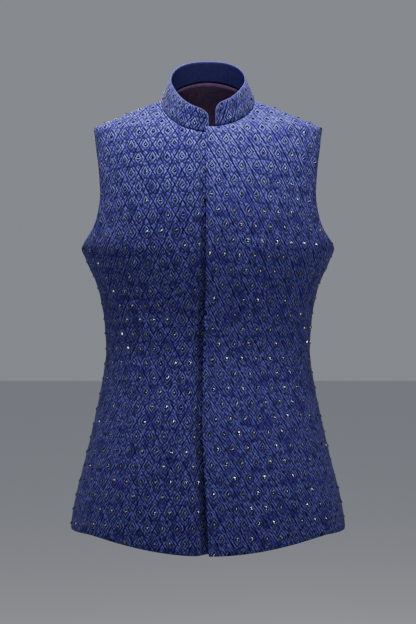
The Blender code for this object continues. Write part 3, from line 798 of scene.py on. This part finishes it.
def stones_on(name, panel, flat, relief, keep):
    """One joined mesh of stones at the lattice's places on a panel."""
    net, way_in, margin = panel
    surface = net - way_in * relief[..., None]
    along_u = np.gradient(surface, axis=1) / np.gradient(flat[..., 0], axis=1)[..., None]
    tree = KDTree(flat.shape[0] * flat.shape[1])
    for index, (u, v) in enumerate(flat.reshape(-1, 2)):
        tree.insert((u, v, 0), index)
    tree.balance()
    low, high = flat.reshape(-1, 2).min(axis=0), flat.reshape(-1, 2).max(axis=0)
    points, faces, on_stone = [], [], []
    for row in range(math.floor(low[1] / ROW_STEP), math.ceil(high[1] / ROW_STEP) + 1):
        shift = 0.5 * (row % 2)
        for column in range(math.floor(low[0] / PITCH) - 1, math.ceil(high[0] / PITCH) + 1):
            u, v = (column + shift) * PITCH, row * ROW_STEP
            _, index, off = tree.find((u, v, 0))
            i, j = divmod(index, flat.shape[1])
            least = FRONT_STONE_MARGIN if abs(surface[i, j, 0]) < BESIDE_FRONT else STONE_MARGIN
            if off > FARTHEST_POINT or margin[i, j] < least or not keep(surface[i, j]):
                continue
            up = unit(-way_in[i, j])
            right = along_u[i, j]
            right = unit(right - (right @ up) * up)
            top = np.cross(up, right)
            du, dv = (u, v) - flat[i, j]
            centre = surface[i, j] + du * right + dv * top
            lean = chance.normal(0, LEAN, 2)
            tilted = unit(up + lean[0] * right + lean[1] * top)
            right = unit(right - (right @ tilted) * tilted)
            top = np.cross(tilted, right)
            place = stone_points * chance.uniform(*STONE_SIZES)
            base = len(points) * len(stone_points)
            points.append(centre + place @ np.stack([right, top, tilted]))
            faces += [tuple(base + k for k in face) for face in stone_faces]
            on_stone.append(stone_points[:, :2] / STONE_RADIUS)
    thing = new_mesh(name, np.concatenate(points), faces)
    mesh = thing.data
    places = np.concatenate(on_stone)[corner_points(mesh)]
    mesh.uv_layers.new(name="stone").data.foreach_set("uv", places.ravel())
    mesh.polygons.foreach_set("use_smooth", stone_smooth * len(points))
    print(name, len(points), "stones")
    return thing


def anywhere(point):
    return True


def not_covered(point):
    """True where the left front doesn't lie over this point of the right one."""
    return point[0] < outer_edge(point[2]) - CLEAR_OF_EDGE


for label, panel in PANELS.items():
    keep = not_covered if label == "right" else anywhere
    pieces[f"stones_{label}"] = stones_on(
        f"{NAMES[label]}_stones", panel, flats[label], reliefs[label], keep)
pieces["stones_collar"] = stones_on(
    "collar_stones", collar_panel, collar_flat, collar_relief, anywhere)

# %% [markdown]
# ## Materials
# A material is a small graph of nodes. The helpers below add a node and return its output, so
# that a graph reads like arithmetic. Patterns on cloth read the cloth's own UV map, which is the
# flat cut in metres, so the threads stay on the grain wherever the cloth bends.


# %% Node helpers
def material_start(name, roughness, metallic=0.0, **sockets):
    """A new material, its node tree and its Principled shader with plain values set on it."""
    made = bpy.data.materials.new(name)
    made.use_nodes = True
    tree = made.node_tree
    shader = tree.nodes["Principled BSDF"]
    for socket, value in {"Roughness": roughness, "Metallic": metallic, **sockets}.items():
        shader.inputs[socket.replace("_", " ")].default_value = value
    return made, tree, shader


def plug(value, socket):
    """Links a node's output to a socket, or sets a plain number or colour on it."""
    if isinstance(value, bpy.types.NodeSocket):
        socket.id_data.links.new(value, socket)
    else:
        socket.default_value = (*value, 1.0) if isinstance(value, tuple) else value


def calc(operation, *values, clamp=False):
    """One Math node, in the node tree of the first of its values that is another node's output."""
    linked = next(value for value in values if isinstance(value, bpy.types.NodeSocket))
    node = linked.id_data.nodes.new("ShaderNodeMath")
    node.operation, node.use_clamp = operation, clamp
    for value, socket in zip(values, node.inputs):
        plug(value, socket)
    return node.outputs[0]


plus, minus, times, greater = (
    partial(calc, operation) for operation in ("ADD", "SUBTRACT", "MULTIPLY", "MAXIMUM"))


def span(value, low, high, start=0.0, end=1.0):
    """A smooth change from start to end as value goes from low to high."""
    node = value.id_data.nodes.new("ShaderNodeMapRange")
    node.interpolation_type = "SMOOTHSTEP"
    for item, socket in zip((value, low, high, start, end), node.inputs):
        plug(item, socket)
    return node.outputs[0]


def blended(factor, one, two):
    """One colour turning into another."""
    node = factor.id_data.nodes.new("ShaderNodeMix")
    node.data_type = "RGBA"
    for item, number in ((factor, 0), (one, 6), (two, 7)):
        plug(item, node.inputs[number])
    return node.outputs[2]


def noise(vector, size, detail=2.0, turn=0.0):
    """Noise whose spots have this width and length in metres, turned anticlockwise."""
    nodes = vector.id_data.nodes
    mapping = nodes.new("ShaderNodeMapping")
    mapping.vector_type = "TEXTURE"
    mapping.inputs["Scale"].default_value = (*size, size[0])
    mapping.inputs["Rotation"].default_value = (0, 0, turn)
    plug(vector, mapping.inputs["Vector"])
    node = nodes.new("ShaderNodeTexNoise")
    node.inputs["Scale"].default_value = 1.0
    node.inputs["Detail"].default_value = detail
    plug(mapping.outputs[0], node.inputs["Vector"])
    return node.outputs["Fac"]


def uv_map(tree, name):
    node = tree.nodes.new("ShaderNodeUVMap")
    node.uv_map = name
    return node.outputs[0]


def split(vector):
    node = vector.id_data.nodes.new("ShaderNodeSeparateXYZ")
    plug(vector, node.inputs[0])
    return node.outputs


def object_place(tree):
    return tree.nodes.new("ShaderNodeTexCoord").outputs["Object"]


def raised(shader, height, distance):
    """Bump from a height in units of distance metres."""
    bump = shader.id_data.nodes.new("ShaderNodeBump")
    bump.inputs["Distance"].default_value = distance
    plug(height, bump.inputs["Height"])
    plug(bump.outputs[0], shader.inputs["Normal"])


print("helpers ready")

# %% [markdown]
# ## The embroidered cloth
# The threads run along the diagonals. Navy threads lie in the stitched lines, paler and more
# satiny ones fill the bands between them, and a pointed drop is outlined round each stone. On
# the wearer's left the falling diagonal is the stronger one and on the right the rising one,
# so one family fades as the other gets stronger across the body.

# %% Embroidery material
NAVY_THREAD, DEEP_BLUE = (0.0014, 0.0015, 0.014), (0.009, 0.009, 0.058)
PALE_THREAD, VIOLET_TINT = (0.068, 0.068, 0.245), (0.036, 0.022, 0.18)
SLATE_TINT = (0.022, 0.03, 0.085)
LINE_SPACING = PITCH / math.sqrt(1.25)
LINE_SOFT, LINE_WIDER_HIGH_UP = 0.8, 0.45
STITCHES_ACROSS, STITCH_SLANT = 6.0, math.atan2(7 / (2 * ROW_STEP), 5 / PITCH)
DROP_RADIUS, DROP_TAPER, DROP_OUTLINE = 4.7, 0.55, 1.6
HIGH_UP, RIGHT_SIDE, CENTRE_FRONT = (-0.26, -0.08), (-0.17, -0.10), (-0.004, -0.001)
SATIN_SPOT, UNEVEN_SPOT, WANDER_SPOT = (0.0014, 0.006), (0.005, 0.005), (0.009, 0.009)
TINT_SPOT, PATCH_SPOT, THREAD_RELIEF = (0.016, 0.022), (0.010, 0.014), 0.001
# How much darker the collar's copy of the embroidery is: painted shade, not a change in the cloth.
COLLAR_PAINTED_SHADE = 0.68

embroidery, tree, shader = material_start(
    "royal blue embroidery", 0.6, Sheen_Weight=0.06, Sheen_Tint=(0.6, 0.66, 1.0, 1.0),
    Specular_IOR_Level=0.03)
cloth = uv_map(tree, "cloth")
u, v, _ = split(cloth)
a, b = calc("DIVIDE", u, PITCH * MM), calc("DIVIDE", v, 2 * ROW_STEP * MM)
p, q = (calc("WRAP", both, 0.5, -0.5) for both in (plus(a, b), minus(a, b)))
x_mm, y_mm = times(plus(p, q), PITCH / 2), times(minus(p, q), ROW_STEP)
body_x, _, body_z = split(object_place(tree))
wander = minus(noise(cloth, WANDER_SPOT, 2.0), 0.5)
high_up = span(body_z, *HIGH_UP)
wider = times(high_up, LINE_WIDER_HIGH_UP)


def line(distance, half):
    """1 on a line and 0 off it. Lines are broader on the shoulders, where the cloth slopes away."""
    return span(minus(distance, wider), half, half + LINE_SOFT, 1.0, 0.0)


def diagonals(one, other):
    """Stitched lines of one family: the lattice line, and two that bend round the stone."""
    off = plus(times(calc("ABSOLUTE", one), LINE_SPACING), times(wander, 3.0))
    bend = span(calc("ABSOLUTE", other), 0.08, 0.42, 2.2, -1.0)
    outer = calc("ABSOLUTE", minus(off, LINE_SPACING / 2))
    inner = calc("ABSOLUTE", minus(off, plus(bend, LINE_SPACING / 6)))
    return greater(line(outer, 0.2), times(line(inner, 0.1), 0.85))


def stitches(one, other):
    """Satin stitches that cross the bands, more slanted than these: six to a diamond."""
    turns = plus(minus(times(one, STITCHES_ACROSS), other), times(wander, 1.6))
    return calc("MULTIPLY_ADD", calc("COSINE", times(turns, math.tau)), 0.5, 0.5)


# Which family a place shows: near a stone each quarter has its own, further off the side's own.
quarter = span(times(x_mm, y_mm), 8.0, -8.0)
far = times(LINE_SPACING, greater(calc("ABSOLUTE", p), calc("ABSOLUTE", q)))
on_left = span(body_x, *CENTRE_FRONT)
evenly = greater(span(body_x, *RIGHT_SIDE), times(high_up, 0.8))
evenly = times(evenly, span(on_left, 0, 1, 1.0, 0.3))
near = span(minus(far, calc("MULTIPLY_ADD", evenly, 6.0, 4.0)), 0.0, 2.5, 1.0, 0.0)
side = calc("MULTIPLY_ADD", on_left, -0.38, span(body_x, *RIGHT_SIDE, 0.88, 0.5))
rising = plus(times(quarter, near), times(side, minus(1.0, near)))
rising = plus(rising, wander, clamp=True)
falling = minus(1.0, rising)

# The drop is round below and runs up to a straight-sided point.
below_mm, above_mm = calc("MINIMUM", y_mm, 0.0), greater(y_mm, 0.0)
round_part = calc("SQRT", plus(times(x_mm, x_mm), times(below_mm, below_mm)))
radius = calc("MULTIPLY_ADD", above_mm, DROP_TAPER, round_part)
drop = plus(minus(radius, DROP_RADIUS), times(wander, 2.0))
strength = times(span(y_mm, -3.0, 3.0, 0.35, 1.0), calc("MULTIPLY_ADD", high_up, 0.45, 0.5))
drop_pale = times(line(calc("ABSOLUTE", drop), 0.2), strength)
drop_dark = times(line(calc("ABSOLUTE", minus(drop, DROP_OUTLINE)), 0.3), strength)
# Painted shadow: the cloth just round each stone is darkened, as if the stone shaded it.
painted_stone_shadow = span(radius, 2.7, 3.9, 0.9, 0.0)

lines = greater(times(diagonals(p, q), span(minus(1.0, side), 0, 0.6, 0.3, 1)),
                times(diagonals(q, p), span(side, 0, 0.6, 0.3, 1)))
lines = times(lines, span(drop, -0.5, 1.0))
waves = plus(times(stitches(p, q), falling), times(stitches(q, p), rising))
satin_p, satin_q = (minus(noise(cloth, SATIN_SPOT, 1.0, turn), 0.5)
                    for turn in (STITCH_SLANT, -STITCH_SLANT))
satin = plus(times(satin_p, falling), times(satin_q, rising))
uneven = minus(noise(cloth, UNEVEN_SPOT, 2.0), 0.5)
amount = plus(plus(times(waves, 0.55), times(satin, 2.0)), uneven)
pale = greater(span(amount, 0.0, 0.62), drop_pale)
# The dark mask holds the navy threads and the painted shadow round each stone.
dark = greater(greater(lines, drop_dark), painted_stone_shadow)
tint, patches = noise(cloth, TINT_SPOT, 1.0, 0.7), noise(cloth, PATCH_SPOT, 2.0, -0.4)
thread = blended(span(tint, 0.53, 0.66), PALE_THREAD, VIOLET_TINT)
thread = blended(span(patches, 0.55, 0.68), thread, SLATE_TINT)
colour = blended(dark, blended(pale, DEEP_BLUE, thread), NAVY_THREAD)
tone = tree.nodes.new("ShaderNodeVectorMath")
tone.operation, tone.name = "SCALE", "tone"
tone.inputs["Scale"].default_value = 1.0
plug(colour, tone.inputs[0])
plug(tone.outputs[0], shader.inputs["Base Color"])
raised(shader, plus(times(pale, 0.35), times(dark, -0.5)), THREAD_RELIEF)
print(len(tree.nodes), "nodes in the embroidery")

# Painted shade: the collar gets a darker copy of the embroidery, so that the upright band looks
# less lit than the shoulders.
painted_shade_collar_embroidery = embroidery.copy()
painted_shade_collar_embroidery.name = "royal blue embroidery, painted shade"
painted_shade_collar_embroidery.node_tree.nodes["tone"].inputs["Scale"].default_value = COLLAR_PAINTED_SHADE

# %% [markdown]
# ## Plain cloths, cord, stones and studs
# The cloth's reverse, the facing and the lining are plain weaves: two fine waves at right angles
# make the threads, and noise makes them uneven. The cord is a twisted thread. A stone is dark
# glass over olive foil, under a clear coat that gives it a sharp glint. The studs are brushed.


# %% The plain cloths
def plain_cloth(name, one, two, roughness, thread, gloss):
    """A plain weave of two close colours, with threads this far apart in metres."""
    made, tree, shader = material_start(name, roughness, Specular_IOR_Level=gloss)
    place = uv_map(tree, "cloth")
    x, y, _ = split(place)
    warp, weft = (calc("SINE", times(way, math.tau / thread)) for way in (x, y))
    uneven = noise(place, (0.006, 0.006), 3.0)
    plug(blended(span(uneven, 0.35, 0.65), one, two), shader.inputs["Base Color"])
    raised(shader, plus(times(warp, weft), uneven), 0.00008)
    return made


reverse = plain_cloth(
    "cloth reverse", (0.007, 0.008, 0.035), (0.01, 0.011, 0.045), 0.75, 0.0009, 0.1)
facing = plain_cloth(
    "navy facing", (0.0024, 0.0023, 0.016), (0.0036, 0.0034, 0.022), 0.75, 0.0008, 0.1)
lining = plain_cloth(
    "plum lining", (0.018, 0.010, 0.024), (0.025, 0.014, 0.032), 0.7, 0.0006, 0.02)
print("plain cloths: reverse, facing and lining")

# %% Cord, stones and studs
TURNS_PER_METRE, CORD_STRANDS = 450.0, 2
piping, tree, shader = material_start("light blue cord", 0.6, Specular_IOR_Level=0.2)
x, y, _ = split(uv_map(tree, "cord"))
twist = calc("SINE", times(plus(times(x, TURNS_PER_METRE), y), math.tau * CORD_STRANDS))
plug(blended(span(twist, -1, 1), (0.02, 0.02, 0.075), (0.036, 0.036, 0.12)),
     shader.inputs["Base Color"])
raised(shader, twist, 0.00012)

GLASS_EDGE, FOIL_EDGE = 0.68, 0.76
stone_glass, tree, shader = material_start(
    "dark glass in an olive ring", 0.2, Coat_Weight=1.0, Coat_IOR=1.9, Coat_Roughness=0.06,
    Specular_IOR_Level=0.1)
x, y, _ = split(uv_map(tree, "stone"))
on_ring = span(calc("SQRT", plus(times(x, x), times(y, y))), GLASS_EDGE, FOIL_EDGE)
age = noise(object_place(tree), (0.02, 0.02), 1.0)
olive = blended(span(age, 0.42, 0.58), (0.003, 0.008, 0.003), (0.011, 0.028, 0.006))
plug(blended(on_ring, (0.001, 0.003, 0.004), olive), shader.inputs["Base Color"])
plug(span(on_ring, 0.0, 1.0, 0.12, 0.4), shader.inputs["Roughness"])

stud_metal, tree, shader = material_start("dark stud metal", 0.35, 1.0)
brushed = noise(object_place(tree), (0.0002, 0.002), 3.0)
plug(blended(brushed, (0.07, 0.07, 0.09), (0.15, 0.15, 0.18)), shader.inputs["Base Color"])
raised(shader, brushed, 0.00004)
print("materials:", len(bpy.data.materials))

# %% Dress the pieces
DRESS = {  # piece: CAD node that it stands for, record slot, materials outside and inside
    "left": ("front_left", "embroidered_cloth", (embroidery, reverse)),
    "right": ("front_right", "embroidered_cloth", (embroidery, reverse)),
    "back": ("back", "embroidered_cloth", (embroidery, reverse)),
    "collar": ("collar", "embroidered_cloth", (painted_shade_collar_embroidery, reverse)),
    "facing": ("collar_facing", "facing_cloth", (facing, facing)),
    "lining": ("lining_back", "lining_cloth", (lining, lining)),
    "piping": ("collar_piping", "piping_cord", (piping,)),
}
for key, (replaced, slot, materials) in DRESS.items():
    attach(pieces[key], "root")
    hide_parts(replaced)
    for item in materials:
        pieces[key].data.materials.append(item)
for key in ("left", "right", "back", "collar"):
    stones = pieces[f"stones_{key}"]
    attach(stones, "root")
    stones.data.materials.append(stone_glass)
for name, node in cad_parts.items():
    if name.startswith("press_stud"):
        node.data.materials.clear()
        node.data.materials.append(stud_metal)
print("pieces dressed:", len(pieces))

# %% [markdown]
# ## Floor, light and camera
# The floor and the world are plain and pale, and the world shows in no reflection, so that the
# stones stay dark. A soft light close above makes the shoulders bright and leaves the hem dark,
# as in the photo. Weaker ones fill in from the front, both sides and behind. The spark is a small
# light that shows in reflections alone, for the glints on the stones. The camera stands level
# with the waistcoat's middle, two metres away, with a long lens, so lines stay nearly parallel.

# %% Stage
FLOOR_Z, LIGHT_COLOUR = -1.5, (1.0, 0.965, 0.96)
bpy.ops.mesh.primitive_plane_add(size=40, location=(0, 0, FLOOR_Z))
floor = bpy.context.object
floor.name = "floor"
floor_paint, tree, shader = material_start("pale floor", 0.9)
shader.inputs["Base Color"].default_value = (0.8, 0.8, 0.81, 1.0)
floor.data.materials.append(floor_paint)
world = bpy.data.worlds.new("pale room")
bpy.context.scene.world = world
world.use_nodes = True
sky = world.node_tree.nodes["Background"].inputs
sky["Color"].default_value, sky["Strength"].default_value = (0.82, 0.86, 0.95, 1.0), 0.3
world.cycles_visibility.glossy = False


def area_light(name, place, aim, size, power):
    """A square light of this size in metres and power in watts, turned towards a point."""
    data = bpy.data.lights.new(name, "AREA")
    data.shape, data.size, data.energy, data.color = "SQUARE", size, power, LIGHT_COLOUR
    light = bpy.data.objects.new(name, data)
    light.visible_camera = False
    bpy.context.scene.collection.objects.link(light)
    light.location = place
    light.rotation_euler = (Vector(aim) - Vector(place)).to_track_quat("-Z", "Y").to_euler()
    return light


top = area_light("top", (-0.03, -0.18, 0.5), (0, -0.05, -0.1), 0.45, 32)
spark = area_light("spark", (0.55, -1.5, 0.6), (0, 0, -0.35), 0.3, 22)
area_light("side", (0.85, -0.8, 0.3), (0, -0.1, -0.2), 0.5, 7.0)
area_light("fill", (-1.2, -0.4, 0.1), (0, 0, -0.2), 0.5, 4.6)
area_light("front", (0.3, -2.0, 0.6), (0, 0, -0.2), 0.4, 8.5)
area_light("back", (-0.4, 1.9, 0.4), (0, 0, -0.35), 0.6, 26)
top.visible_glossy = spark.visible_diffuse = False
print("lights:", len(bpy.data.lights))

# %% Camera
CAMERA_Y, CAMERA_Z, MM_PER_PIXEL, PIXELS_HIGH = -2.1, -0.339, 1.6, 624
camera = bpy.data.cameras.new("camera")
camera.sensor_width = 36.0
camera.lens = camera.sensor_width * -CAMERA_Y / (MM_PER_PIXEL * MM * PIXELS_HIGH)
eye = bpy.data.objects.new("camera", camera)
bpy.context.scene.collection.objects.link(eye)
eye.location = (0.0, CAMERA_Y, CAMERA_Z)
eye.rotation_euler = (math.pi / 2, 0, 0)
bpy.context.scene.camera = eye
print("lens", round(camera.lens, 1), "mm")
